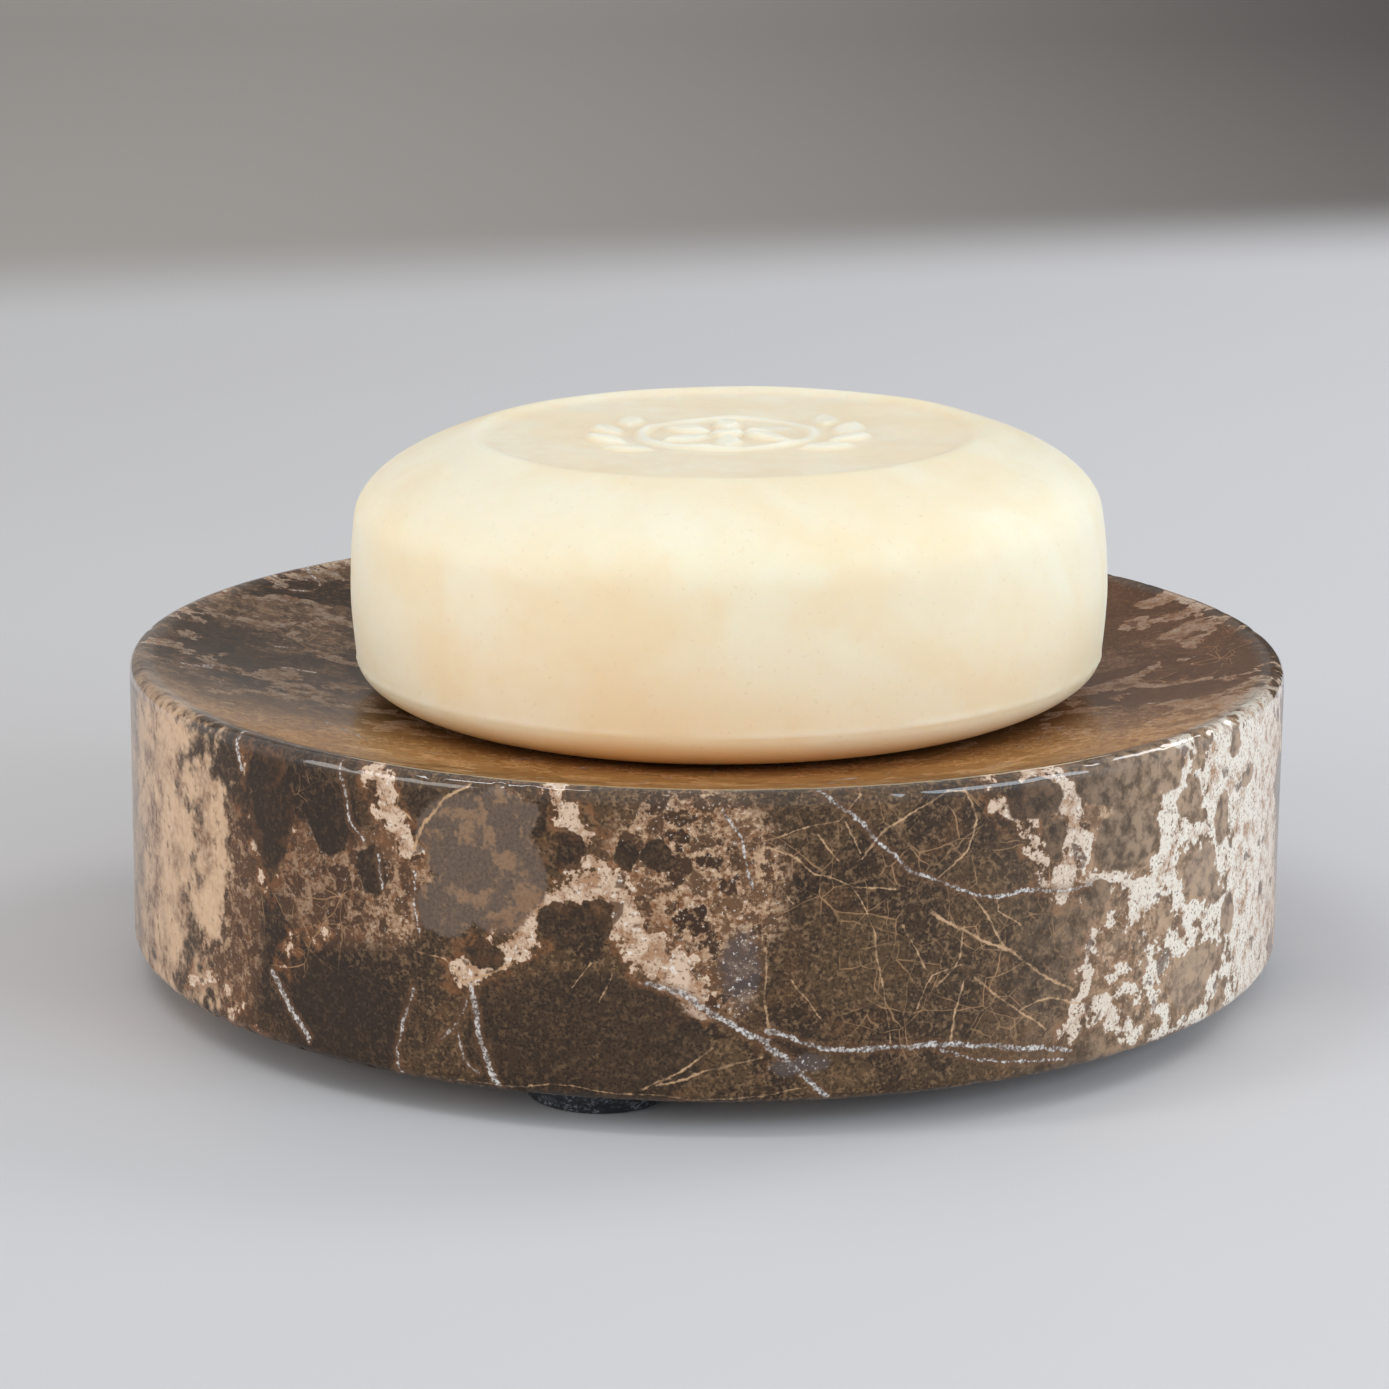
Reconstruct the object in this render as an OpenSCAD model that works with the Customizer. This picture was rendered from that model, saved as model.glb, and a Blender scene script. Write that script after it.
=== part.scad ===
// Shaving soap puck resting in a round stone dish that stands on four rubber feet.
// Origin: centre of the dish on the surface it stands on. +Z is up, -Y is the front.

/* [Dish] */
// Outside diameter of the stone dish
dish_d = 115; // [112:1:125]
// Thickness of the stone, without its feet
dish_h = 29; // [24:0.5:34]
// Depth of the bowl, from the rim to its lowest point
bowl_depth = 6.8; // [5.5:0.1:8]
// Radius of the eased edge around the rim
rim_r = 1.1; // [0.6:0.1:1.5]
// Width of the flat between the eased edge and the bowl
rim_land = 0.2; // [0.1:0.1:1]
// Radius of the eased edge around the underside
base_r = 1.4; // [0.8:0.1:2]

/* [Feet] */
// Diameter of a foot where it meets its adhesive pad
foot_d = 16; // [12:0.5:18]
// How much smaller the sole of a foot is than its top, in diameter
foot_taper = 2.4; // [1:0.2:4]
// Thickness of the rubber
foot_h = 2.6; // [2:0.1:4]
// Radius on the edge of the sole
sole_r = 0.8; // [0.4:0.1:1.2]
// Thickness of the adhesive pad between the rubber and the stone
pad_h = 0.4; // [0.3:0.1:0.6]
// How much smaller the adhesive pad is than the foot, in diameter
pad_inset = 0.8; // [0.4:0.2:1.6]
// Distance from the dish's axis to the middle of a foot
foot_ring_r = 46; // [38:0.5:46]
// Direction of the first foot, anticlockwise from +X
foot_angle = 258; // [225:1:290]

/* [Puck] */
// Largest diameter of the puck, half way up its side
puck_d = 75.4; // [66:0.2:80]
// How much the side swells between its two edges, in radius
side_swell = 0.5; // [0.2:0.1:1]
// Height of the side between its lower edge and the shoulder
side_h = 14; // [8:0.5:18]
// Height of the rounded underside, below the side
under_h = 5.2; // [3:0.1:6]
// Width of the rounded underside, measured in from the side
under_w = 15.2; // [10:0.2:18]
// Height of the ellipse that the shoulder follows, above the side
shoulder_h = 11.2; // [6:0.2:14]
// Radius of the top's edge, where the shoulder ends at the panel
top_r = 25; // [20:0.5:28]
// Depth of the sunk panel on the top
panel_depth = 0.7; // [0.3:0.1:1.2]
// Width of the panel's sloping wall
panel_slope = 1.2; // [0.6:0.1:2]
// How far the ornament stands above the panel's floor
relief_h = 0.6; // [0.3:0.1:0.9]

/* [Rest position] */
// How far the puck has slid off centre in the bowl, towards +X
puck_slide = 2.3; // [0:0.1:5]
// Extra lean of the puck, in degrees, its +X side up
puck_lean = 0.4; // [0:0.1:0.4]
// Gap between the puck and the bowl where they come closest, with no lean
seat_gap = 0.25; // [0.25:0.05:0.5]

/* [Ornament] */
// Number of petals
petals = 6; // [5:1:8]
// Distance from the middle to a petal's inner end
petal_inner = 2.2; // [2:0.1:3]
// Length of a petal
petal_l = 5; // [3.5:0.1:5.5]
// Radius of the two circles whose overlap is a petal
petal_arc_r = 3.3; // [3:0.1:6]
// Radius of the button in the middle
button_r = 1.5; // [1:0.1:1.8]
// Outer radius of the ring around the petals
ring_r = 9; // [8.6:0.1:9.6]
// Width of the ring
ring_w = 0.9; // [0.4:0.1:1]
// Number of leaves on each side of the ring
leaves = 4; // [2:1:5]
// Distance from the middle to the middle of a leaf
leaf_ring_r = 12.3; // [12:0.1:18]
// Length of a leaf
leaf_l = 5.2; // [4:0.1:5.4]
// Radius of the two circles whose overlap is a leaf
leaf_arc_r = 3.4; // [3.2:0.1:6]
// Angle between neighbouring leaves
leaf_step = 25; // [22:1:30]
// Angle between a leaf and the circle that it sits on
leaf_lean = 36; // [20:1:44]

/* [Hidden] */
feet = 4;
foot_names = [for (i = [1:feet]) str("rubber_foot_", i)];
pad_names = [for (i = [1:feet]) str("adhesive_pad_", i)];

stone_brown = [0.29, 0.22, 0.17];
rubber_black = [0.07, 0.07, 0.08];
adhesive_grey = [0.62, 0.62, 0.60];
soap_cream = [0.93, 0.87, 0.75];

edge_steps = 8;     // points on a quarter circle of an eased edge
curve_steps = 14;   // points on the puck's longer curves
turn = $preview ? 96 : 180;
embed = 0.2;        // how far the ornament runs into the panel's floor

dish_z = foot_h + pad_h;
rim_z = dish_z + dish_h;
dish_r = dish_d / 2;
bowl_r = dish_r - rim_r - rim_land;
bowl_ball_r = (pow(bowl_r, 2) + pow(bowl_depth, 2)) / (2 * bowl_depth);
bowl_ball_z = rim_z - bowl_depth + bowl_ball_r;

puck_r = puck_d / 2;
side_r = puck_r - side_swell;
side_top = under_h + side_h;
top_z = side_top + shoulder_h * sqrt(1 - pow(top_r / side_r, 2));
panel_z = top_z - panel_depth;
panel_r = top_r - panel_slope;

// Points on an ellipse, from angle a to angle b, about the point c.
function arc_points(c, rx, ry, a, b, steps) =
    [for (i = [0:steps]) let (t = a + (b - a) * i / steps) c + [rx * cos(t), ry * sin(t)]];

// Half of the puck's section, from the middle of the underside to the middle of the top.
function underside_points() =
    arc_points([side_r - under_w, under_h], under_w, under_h, -90, 0, curve_steps);
function side_points() =
    [for (i = [1:curve_steps - 1]) let (t = i / curve_steps)
        [side_r + side_swell * sin(180 * t), under_h + side_h * t]];
function shoulder_points() =
    arc_points([0, side_top], side_r, shoulder_h, 0, acos(top_r / side_r), curve_steps);

// How far the bowl's surface has risen at a distance from its lowest point.
function bowl_rise(r) = bowl_ball_r - sqrt(pow(bowl_ball_r, 2) - pow(r, 2));

// Height of the puck's flat underside above the bowl's lowest point, when it rests on its rounded edge.
seat_rise = seat_gap + max([for (p = underside_points()) bowl_rise(p.x) - p.y]);
puck_z = rim_z - bowl_depth + seat_rise;
slide_angle = asin(puck_slide / (bowl_ball_z - puck_z));

module stone_dish() {
    section = concat(
        [[0, dish_z]],
        arc_points([dish_r - base_r, dish_z + base_r], base_r, base_r, -90, 0, edge_steps),
        arc_points([dish_r - rim_r, rim_z - rim_r], rim_r, rim_r, 0, 90, edge_steps),
        [[0, rim_z]]);
    color(stone_brown)
    difference() {
        rotate_extrude($fn = turn) polygon(section);
        translate([0, 0, bowl_ball_z]) sphere(r = bowl_ball_r, $fn = turn);
    }
}

module at_foot(i) {
    rotate(foot_angle + 360 * i / feet) translate([foot_ring_r, 0, 0]) children();
}

module rubber_foot(i) {
    sole_half = (foot_d - foot_taper) / 2;
    section = concat(
        [[0, 0]],
        arc_points([sole_half - sole_r, sole_r], sole_r, sole_r, -90, 0, edge_steps),
        [[foot_d / 2, foot_h], [0, foot_h]]);
    color(rubber_black) at_foot(i) rotate_extrude($fn = turn) polygon(section);
}

module adhesive_pad(i) {
    color(adhesive_grey) at_foot(i) translate([0, 0, foot_h])
        cylinder(h = pad_h, d = foot_d - pad_inset, $fn = turn);
}

// The overlap of two circles, a pointed oval of the given length along X.
module pointed_oval(length, arc_r) {
    offset_y = sqrt(pow(arc_r, 2) - pow(length / 2, 2));
    intersection() {
        translate([0, offset_y]) circle(r = arc_r, $fn = turn);
        translate([0, -offset_y]) circle(r = arc_r, $fn = turn);
    }
}

module ornament_outline() {
    circle(r = button_r, $fn = turn);
    for (i = [0:petals - 1])
        rotate(90 + 360 * i / petals) translate([petal_inner + petal_l / 2, 0])
            pointed_oval(petal_l, petal_arc_r);
    difference() {
        circle(r = ring_r, $fn = turn);
        circle(r = ring_r - ring_w, $fn = turn);
    }
    for (side = [0, 180], k = [0:leaves - 1]) {
        swing = leaf_step * (k - (leaves - 1) / 2);
        rotate(side + swing) translate([leaf_ring_r, 0])
            rotate(90 + (side == 0 ? -leaf_lean : leaf_lean)) pointed_oval(leaf_l, leaf_arc_r);
    }
}

module puck_body() {
    section = concat(
        [[0, 0]],
        underside_points(),
        side_points(),
        shoulder_points(),
        [[panel_r, panel_z], [0, panel_z]]);
    rotate_extrude($fn = turn) polygon(section);
}

module soap_puck() {
    color(soap_cream)
    translate([0, 0, bowl_ball_z]) rotate([0, -slide_angle, 0]) translate([0, 0, puck_z - bowl_ball_z])
    rotate([0, -puck_lean, 0]) {
        puck_body();
        translate([0, 0, panel_z - embed]) linear_extrude(relief_h + embed) ornament_outline();
    }
}

stone_dish();
soap_puck();
for (i = [0:feet - 1]) {
    rubber_foot(i);
    adhesive_pad(i);
}
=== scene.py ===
"""A cream shaving soap puck in a shallow dish of dark brown breccia marble, on four rubber feet.

Metres throughout, except inside the materials and the section curves, which work in millimetres.
"""
import math
from functools import reduce

import bpy
import numpy as np
from mathutils import Matrix, Vector, noise


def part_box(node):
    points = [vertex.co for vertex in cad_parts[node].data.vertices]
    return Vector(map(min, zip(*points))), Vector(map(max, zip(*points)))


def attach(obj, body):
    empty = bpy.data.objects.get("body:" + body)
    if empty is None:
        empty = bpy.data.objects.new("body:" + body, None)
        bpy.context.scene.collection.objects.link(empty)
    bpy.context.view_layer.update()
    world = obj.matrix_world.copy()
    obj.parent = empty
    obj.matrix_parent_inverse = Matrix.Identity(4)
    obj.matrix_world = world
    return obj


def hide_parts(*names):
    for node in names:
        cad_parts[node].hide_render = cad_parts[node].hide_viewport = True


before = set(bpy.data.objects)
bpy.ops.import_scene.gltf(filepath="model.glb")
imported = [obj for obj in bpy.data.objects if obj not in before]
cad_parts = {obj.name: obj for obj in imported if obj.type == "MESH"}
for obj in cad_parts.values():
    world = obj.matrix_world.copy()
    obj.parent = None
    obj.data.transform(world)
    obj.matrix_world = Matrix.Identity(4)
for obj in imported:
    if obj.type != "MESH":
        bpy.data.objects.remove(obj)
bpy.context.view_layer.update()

MM = 0.001
TURN = 2 * math.pi

# Sizes in millimetres. The first four are read from the frame, the others repeat the design.
dish_low, dish_high = (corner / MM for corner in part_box("stone_dish"))
dish_r = dish_high.x
base_z = dish_low.z
rim_z = dish_high.z
foot_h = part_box("rubber_foot_1")[1].z / MM
rim_edge_r = 1.1
rim_land = 0.2
base_edge_r = 1.4
bowl_depth = 6.8
bowl_r = dish_r - rim_edge_r - rim_land
bowl_ball_r = (bowl_r ** 2 + bowl_depth ** 2) / (2 * bowl_depth)
bowl_ball_z = rim_z - bowl_depth + bowl_ball_r

foot_d = 16
sole_d = 13.6
sole_edge_r = 0.8
pad_d = 15.2

puck_side_r = 37.2
puck_swell = 0.5
puck_under_h = 5.2
puck_under_w = 15.2
puck_side_top = 19.2
puck_shoulder_h = 11.2
puck_top_r = 25.0
panel_depth = 0.7
panel_slope = 1.2
relief_h = 0.6
puck_slide = 2.3
puck_lean = math.radians(0.4)
seat_gap = 0.25

button_r = 1.5
ring_middle_r = 8.55
ring_half_w = 0.45
petals = 6
petal_middle_r = 4.7
petal_l = 5
petal_arc_r = 3.3
leaves = 4
leaf_ring_r = 12.3
leaf_l = 5.2
leaf_arc_r = 3.4
leaf_step = 25
leaf_lean = 36

# Facets round each turned piece.
DISH_FACETS = 720
PUCK_FACETS = 400
FOOT_FACETS = 128


# ---------------------------------------------------------------- shapes

def smooth(value, low, high):
    """0 at low, 1 at high, eased between them; works on numbers and arrays, and with high below low."""
    share = np.clip((value - low) / (high - low), 0, 1)
    return share * share * (3 - 2 * share)


def arc(centre, radii, first, last, steps):
    """Points on an ellipse from one angle to another, in degrees."""
    angles = np.radians(np.linspace(first, last, steps))
    return [(centre[0] + radii[0] * math.cos(a), centre[1] + radii[1] * math.sin(a)) for a in angles]


def resample(points, spacing):
    """A section curve with a point about every spacing millimetres; spacing may depend on the point."""
    points = np.array(points, float)
    lengths = np.hypot(*np.diff(points, axis=0).T)
    along = np.concatenate([[0], np.cumsum(lengths)])
    stops = [0.0]
    while stops[-1] < along[-1]:
        here = [np.interp(stops[-1], along, points[:, k]) for k in (0, 1)]
        stops.append(stops[-1] + spacing(*here))
    stops = np.array(stops) * along[-1] / stops[-1]
    return np.stack([np.interp(stops, along, points[:, k]) for k in (0, 1)], 1)


def soften(points, reach):
    """Rounds the corners of an evenly spaced section curve; its two ends stay put."""
    for _ in range(reach):
        points[1:-1] = 0.25 * points[:-2] + 0.5 * points[1:-1] + 0.25 * points[2:]
    return points


def perlin(points, size, seed):
    """Smooth noise about -1 to 1 at each point, with features of that size."""
    shift = Vector((seed * 13.7, seed * 5.3, seed * 9.1))
    return np.array([noise.noise(Vector(p) / size + shift) for p in points])


def lathe(name, section, steps, shape=None):
    """Turns a section of (radius, height) points, whose ends lie on the axis, into a closed mesh.

    shape takes and returns an array of points in millimetres, and may move them.
    """
    rings = section[1:-1]
    angles = np.arange(steps) * TURN / steps
    grid = np.stack([np.outer(rings[:, 0], np.cos(angles)),
                     np.outer(rings[:, 0], np.sin(angles)),
                     np.repeat(rings[:, 1:], steps, 1)], -1).reshape(-1, 3)
    points = np.concatenate([grid, [[0, 0, section[0, 1]], [0, 0, section[-1, 1]]]])
    if shape:
        points = shape(points)
    last_ring = len(rings) - 1
    first_pole, last_pole = len(grid), len(grid) + 1
    i = np.arange(steps)
    j = (i + 1) % steps
    faces = []
    for ring in range(last_ring):
        low, high = ring * steps, (ring + 1) * steps
        faces += np.stack([low + i, low + j, high + j, high + i], 1).tolist()
    faces += np.stack([j, i, np.full(steps, first_pole)], 1).tolist()
    faces += np.stack([last_ring * steps + i, last_ring * steps + j, np.full(steps, last_pole)], 1).tolist()
    mesh = bpy.data.meshes.new(name)
    mesh.from_pydata((points * MM).tolist(), [], faces)
    mesh.polygons.foreach_set("use_smooth", [True] * len(mesh.polygons))
    mesh.update()
    piece = bpy.data.objects.new(name, mesh)
    bpy.context.scene.collection.objects.link(piece)
    return piece


# ---------------------------------------------------------------- materials

def srgb(red, green, blue):
    """A colour given as 0 to 255 display values, as the linear RGBA that shaders take."""
    def linear(value):
        share = value / 255
        return share / 12.92 if share <= 0.04045 else ((share + 0.055) / 1.055) ** 2.4
    return (linear(red), linear(green), linear(blue), 1)


class Net:
    """A material's node tree, with short calls for the nodes used here.

    A value may be a number or another node's socket.
    """

    def __init__(self, name):
        self.material = bpy.data.materials.new(name)
        self.material.use_nodes = True
        self.tree = self.material.node_tree
        self.tree.nodes.clear()

    def node(self, kind, inputs, **settings):
        made = self.tree.nodes.new("ShaderNode" + kind)
        for key, value in settings.items():
            setattr(made, key, value)
        for key, value in inputs.items():
            if isinstance(value, bpy.types.NodeSocket):
                self.tree.links.new(value, made.inputs[key])
            else:
                made.inputs[key].default_value = value
        return made

    def math(self, operation, a, b=0.0, clamp=False):
        return self.node("Math", {0: a, 1: b}, operation=operation, use_clamp=clamp).outputs[0]

    def add(self, a, b):
        return self.math("ADD", a, b)

    def times(self, a, b):
        return self.math("MULTIPLY", a, b)

    def least(self, values):
        return reduce(lambda a, b: self.math("MINIMUM", a, b), values)

    def most(self, values):
        return reduce(lambda a, b: self.math("MAXIMUM", a, b), values)

    def inverse(self, value):
        return self.math("SUBTRACT", 1.0, value)

    def vector(self, operation, a, b=(0, 0, 0), c=(0, 0, 0)):
        return self.node("VectorMath", {0: a, 1: b, 2: c}, operation=operation)

    def millimetres(self):
        """The point being shaded, in millimetres from the frame's origin."""
        coordinates = self.node("TexCoord", {})
        return self.vector("MULTIPLY", coordinates.outputs["Object"], (1000, 1000, 1000)).outputs[0]

    def split(self, vector):
        return self.node("SeparateXYZ", {0: vector}).outputs

    def noise(self, at, size, detail=2.0, roughness=0.5):
        """Noise from 0 to 1 whose features are about size millimetres."""
        return self.node("TexNoise", {"Vector": at, "Scale": 1 / size, "Detail": detail,
                                      "Roughness": roughness}).outputs[0]

    def warp(self, at, size, reach, detail=2.0):
        """The position moved by noise, up to about half of reach each way."""
        field = self.node("TexNoise", {"Vector": at, "Scale": 1 / size, "Detail": detail}).outputs[1]
        centred = self.vector("SUBTRACT", field, (0.5, 0.5, 0.5)).outputs[0]
        return self.vector("MULTIPLY_ADD", centred, (reach, reach, reach), at).outputs[0]

    def cells(self, at, size, feature="F1"):
        """Irregular cells about size millimetres wide."""
        return self.node("TexVoronoi", {"Vector": at, "Scale": 1 / size}, feature=feature)

    def ramp(self, value, low, high, to_low=0.0, to_high=1.0):
        """Eases from to_low to to_high as value goes from low to high; low may be above high."""
        return self.node("MapRange", {"Value": value, "From Min": low, "From Max": high,
                                      "To Min": to_low, "To Max": to_high},
                         interpolation_type="SMOOTHSTEP").outputs[0]

    def mix(self, share, a, b):
        """Colour a where share is 0, colour b where it is 1."""
        return self.node("Mix", {0: share, 6: a, 7: b}, data_type="RGBA").outputs[2]

    def bump(self, height, reach):
        """A normal that follows a height from 0 to 1, which stands for that reach in millimetres."""
        return self.node("Bump", {"Height": height, "Distance": reach * MM, "Strength": 1.0}).outputs[0]

    def finish(self, **inputs):
        """Adds the shader, with underscores in its socket names for spaces, and the output."""
        named = {key.replace("_", " "): value for key, value in inputs.items()}
        shader = self.node("BsdfPrincipled", named)
        self.node("OutputMaterial", {"Surface": shader.outputs[0]})
        return self.material


FAR = 100.0


def line_distance(net, at, lines):
    """How far a point is outside the nearest of some bands, each (half width, [points])."""
    distances = []
    for half_width, points in lines:
        pieces = []
        for start, end in zip(points, points[1:]):
            run = Vector((end[0] - start[0], end[1] - start[1], 0))
            away = net.vector("SUBTRACT", at, (start[0], start[1], 0)).outputs[0]
            dot = net.vector("DOT_PRODUCT", away, tuple(run / run.length_squared)).outputs["Value"]
            share = net.math("ADD", dot, 0.0, clamp=True)
            foot = net.node("VectorMath", {0: tuple(run), "Scale": share}, operation="SCALE").outputs[0]
            pieces.append(net.vector("DISTANCE", away, foot).outputs["Value"])
        distances.append(net.math("SUBTRACT", net.least(pieces), half_width))
    return net.least(distances) if distances else FAR


def oval_share(net, at, ovals):
    """1 at the middle of the nearest of some ovals, 0 on its outline; each (middle, half sizes)."""
    shares = []
    for middle, half in ovals:
        away = net.vector("SUBTRACT", at, (middle[0], middle[1], 0)).outputs[0]
        scaled = net.vector("MULTIPLY", away, (1 / half[0], 1 / half[1], 0)).outputs[0]
        shares.append(net.inverse(net.vector("LENGTH", scaled).outputs["Value"]))
    return net.most(shares) if shares else -FAR


# Where the stone's main features lie on the front of the dish: millimetres round
# the side from the middle of the front, positive to the right, then millimetres above the floor.
CALCITE_VEINS = [
    (0.29, [(-5, 14.5), (0, 12), (5.5, 9)]),
    (0.27, [(5.5, 8.6), (9, 5.5), (11, 3.5)]),
    (0.25, [(5.5, 10), (9, 8.8), (13.5, 7.8), (21, 7.6), (27, 6.8), (36, 5.2)]),
    (0.18, [(10, 32), (13, 30.2), (16, 27), (19, 24), (25, 21.3), (30, 20.8), (38, 20.4)]),
    (0.29, [(-21.5, 12.5), (-20.5, 8.5), (-19, 4)]),
    (0.13, [(-27.2, 12), (-28, 9), (-29, 6), (-28.6, 3.5)]),
    (0.12, [(-22, 11.5), (-23.2, 9), (-22, 6), (-20.5, 4.8)]),
    (0.10, [(-23.2, 9), (-24.8, 7.3)]),
    (0.34, [(-44, 10), (-41.5, 7), (-39.5, 4.5)]),
    (0.22, [(-49, 32), (-48.3, 29)]),
    (0.14, [(-35.5, 31.5), (-34.5, 29), (-34, 26.5), (-32.5, 25)]),
    (0.13, [(1.5, 30.5), (3.3, 28), (4, 23)]),
    (0.14, [(22, 7), (26, 5.4), (35, 4.4)]),
    (0.14, [(-31, 24), (-30.6, 21)]),
    (0.15, [(-27, 23), (-26.5, 17)]),
]
TAN_VEINS = [
    (0.10, [(14, 26), (16, 28), (22, 31.3), (24, 31), (25, 28.5), (24.2, 25.5), (21.5, 23)]),
    (0.08, [(5, 27.4), (8, 26.3), (10, 24.5), (13, 23.5), (17, 23)]),
    (0.08, [(13, 23.5), (15, 19), (16.2, 13), (16.8, 8)]),
    (0.14, [(21, 20), (24, 18.2), (29, 15.5), (36, 11)]),
    (0.11, [(24.5, 21.5), (27, 18.3), (28.5, 16)]),
    (0.08, [(24, 18.5), (23.3, 15.5), (21.5, 13)]),
    (0.10, [(24, 13.5), (22.6, 7)]),
    (0.11, [(25, 14), (33, 7.5)]),
    (0.10, [(30, 10), (33, 10.7), (37, 9.5)]),
    (0.07, [(18, 19.5), (20.5, 14.5)]),
    (0.11, [(5.4, 18), (5.6, 10)]),
    (0.06, [(8, 15), (10.5, 11.3)]),
    (0.10, [(-5, 4.3), (-2, 6), (1, 8.5)]),
    (0.10, [(-4, 4.6), (0, 6), (5, 7.5)]),
    (0.05, [(-23, 3.4), (-14, 4.5), (0, 3.5), (9, 4.4)]),
    (0.11, [(-22.5, 13), (-17.5, 15.5)]),
    (0.16, [(-21.5, 31.3), (-24, 29.5), (-26, 27.5), (-27.2, 25)]),
    (0.07, [(-28.5, 30), (-28.8, 28.5), (-27, 27.2)]),
    (0.08, [(5, 27.8), (9, 28.8), (12, 29.5), (14, 31.8)]),
    (0.07, [(12.5, 29.5), (14, 26.5)]),
    (0.06, [(10, 28), (12, 25.5)]),
    (0.07, [(6, 26), (6.5, 23.5), (8, 22)]),
    (0.07, [(-27, 15.5), (-24, 15), (-22, 13)]),
    (0.06, [(-8, 15), (-9.5, 12.5)]),
    (0.06, [(-10, 16), (-12, 13.5)]),
    (0.06, [(19, 10), (21, 14), (23.5, 15)]),
    (0.07, [(30, 17.5), (27.5, 19.5), (27.3, 21)]),
]
CREAM_BANDS = [
    (0.9, [(-14, 32), (-11, 28), (-8.5, 23)]),
    (1.7, [(-8.5, 23), (-6, 18.5), (-1, 13.5)]),
    (1.2, [(-9.5, 23.5), (-14, 21.5), (-17, 17.5), (-22, 14)]),
    (1.1, [(-31, 32), (-30, 28), (-28, 25)]),
    (1.5, [(31, 32), (35, 29), (36, 24), (34.5, 21.5)]),
    (0.5, [(26.5, 32), (27, 29.5), (30.5, 27), (32.5, 21.5)]),
    (1.6, [(51, 32), (49, 26), (48, 20), (44, 17)]),
    (1.0, [(46, 10), (50, 12.8), (58, 12.2)]),
    (0.8, [(37, 20.5), (41, 20.5), (45, 18)]),
    (0.9, [(36, 7), (39, 9), (44, 5)]),
    (0.4, [(36, 9), (39, 16), (43, 17.5), (46, 13), (50, 12.8)]),
    (0.4, [(38, 7), (42, 9.5), (46, 8.5), (50, 5)]),
    (0.3, [(40, 11), (44, 12)]),
    (1.1, [(50, 24), (53, 27), (57, 29), (58, 32)]),
    (1.0, [(48, 20), (51, 15), (57, 13.5), (63, 16)]),
    (1.2, [(52, 22.5), (57, 22), (60, 18), (62, 10)]),
    (0.8, [(47, 4), (50, 4), (55, 4), (58, 7), (62, 8)]),
    (1.0, [(60, 27), (62, 22)]),
    (0.1, [(-58, 6), (-52, 7.5), (-50.5, 4.5), (-48.5, 6), (-46.5, 4.5)]),
    (-0.1, [(-47.5, 31), (-48.5, 26), (-46, 21), (-45, 18)]),
    (-0.2, [(-44, 31), (-41, 24), (-43.5, 20)]),
    (-0.1, [(-37, 15.5), (-41, 14), (-43, 11)]),
]
GREY_CLASTS = [
    ((-21.5, 26), (5, 5)), ((-19, 23.5), (4.6, 5.6)), ((-24, 20), (2.8, 3)), ((-18, 29), (3, 2.4)),
    ((54.5, 18.5), (2.9, 2.3)), ((53, 8.5), (3.6, 2.6)),
]
DARK_CLASTS = [
    ((-10, 8.5), (10.5, 6.8)), ((-17, 8), (5, 6.5)), ((-38, 7), (4, 5)), ((-33, 9), (4.6, 4)),
    ((-35, 5), (6, 3)), ((-13, 19.2), (2.1, 2.1)), ((-9.9, 19.6), (1.8, 2.2)),
    ((-11.9, 26), (1.4, 2)), ((-20, 16), (2, 1.2)), ((-7, 26), (0.9, 1.3)), ((-15, 29), (0.8, 2)),
    ((31, 29.6), (3.2, 2)), ((33.4, 25.5), (1.1, 2.4)), ((40, 30), (4.2, 2.6)), ((47.5, 30), (3, 2.4)),
    ((42.5, 24), (4.6, 2.9)), ((51.5, 26), (2.1, 1.7)), ((57, 15.6), (1.7, 1.1)), ((60, 13), (1.5, 2)),
    ((60.5, 30), (1.1, 1.8)), ((-44.5, 26), (3.4, 5.6)), ((-36.5, 26), (2.6, 2.8)),
    ((-4.2, 26), (1.8, 1.5)), ((-25.5, 29), (2.4, 1.8)), ((-31.5, 22.5), (1.4, 2.4)),
    ((58, 23), (1.5, 2.6)), ((64, 25.5), (2, 1)), ((38.5, 19.6), (1.9, 1.1)),
]
FINE_ZONES = [
    ((-1, 23.5), (9, 9.5)), ((1, 16), (5, 5)), ((-36, 20), (8, 6)), ((-30, 21), (5, 6)),
    ((-51, 14), (5.5, 12)), ((46, 13), (9, 9)), ((37, 25), (4, 5)), ((-17.5, 30.5), (2, 1)),
]
CREAM_ZONES = [((72, 17), (13, 24)), ((58, 27), (4, 6))]
VEINED_ZONES = [((23, 19), (14, 15)), ((-40, 18), (7, 14)), ((9, 25), (5, 6))]
TAN_ZONES = [((-69, 18), (15, 24)), ((-54, 21), (3.5, 8))]
PURPLE_SPOTS = [((3.2, 16), (2.2, 4.2)), ((8.5, 6.8), (3, 1.1))]
# Hairline cracks: the size of the cells that they run between, and their width as a share of it.
HAIRLINE_FAMILIES = [(6.5, 0.024), (3.7, 0.03)]
# The front is shaded in upright sectors, so that each material holds only the features near it.
SECTOR_EDGES = [-90, -38, -24, -12, 0, 11, 20, 28, 40, 90]
SECTOR_OVERLAP = 3


def bands_near(bands, low, high):
    """The bands with a stretch between low and high round the side, without their other points."""
    found = []
    for half_width, points in bands:
        inside = [k for k in range(len(points) - 1)
                  if min(points[k][0], points[k + 1][0]) < high
                  and max(points[k][0], points[k + 1][0]) > low]
        if inside:
            found.append((half_width, points[inside[0]:inside[-1] + 2]))
    return found


def ovals_near(ovals, low, high):
    """The ovals that reach between low and high round the side."""
    return [oval for oval in ovals if low < oval[0][0] + oval[1][0] and oval[0][0] - oval[1][0] < high]


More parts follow.
